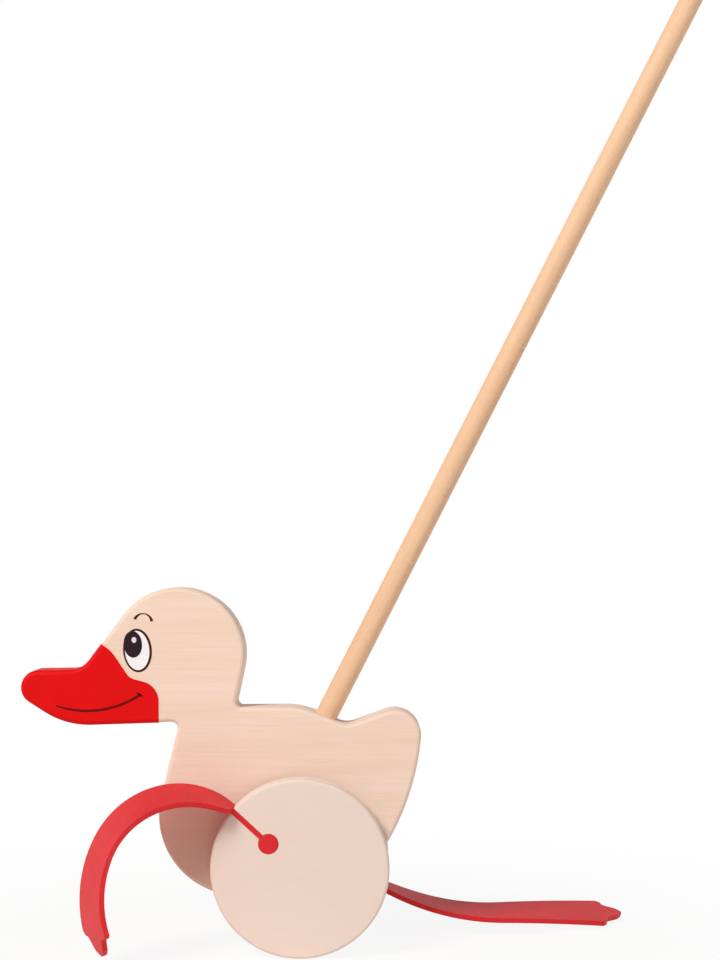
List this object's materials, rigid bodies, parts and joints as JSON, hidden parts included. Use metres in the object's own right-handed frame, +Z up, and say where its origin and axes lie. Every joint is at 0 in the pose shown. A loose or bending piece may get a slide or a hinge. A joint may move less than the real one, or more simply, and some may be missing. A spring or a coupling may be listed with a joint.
{
  "type": "push toy",
  "caption": "Wooden duck push toy: a sawn board duck on plain wheels that hold red rubber feet, which slap the floor as it is pushed along by a stick with a ball grip.",
  "frame": {"origin": "on the floor, under the middle of the axle", "axes": "+Z up, +Y along the axle to the far wheel, -X towards the bill and +X towards the tail and the stick's upper end"},
  "size_m": [0.363, 0.1416, 0.5321],
  "materials": {
    "body_wood": "pale sanded hardwood, clear matt coat",
    "wheel_wood": "pale sanded plywood face, clear matt coat",
    "stick_wood": "warm sanded dowel",
    "red_lacquer": "bright red satin lacquer",
    "red_rubber": "red moulded rubber, matt"
  },
  "bodies": {
    "duck": {"duck_body": "body_wood", "bill_lacquer": "red_lacquer", "push_stick": "stick_wood", "handle_ball": "stick_wood"},
    "wheel_set": {"axle": "stick_wood", "near_washer": "wheel_wood", "far_washer": "wheel_wood", "near_wheel": "wheel_wood", "far_wheel": "wheel_wood", "near_foot": "red_rubber", "far_foot": "red_rubber"}
  },
  "joints": [
    {"name": "axle_spin", "type": "hinge", "parent": "duck", "child": "wheel_set", "pos_m": [0, 0, 0.04], "axis": [0, 1, 0], "continuous": true}
  ]
}
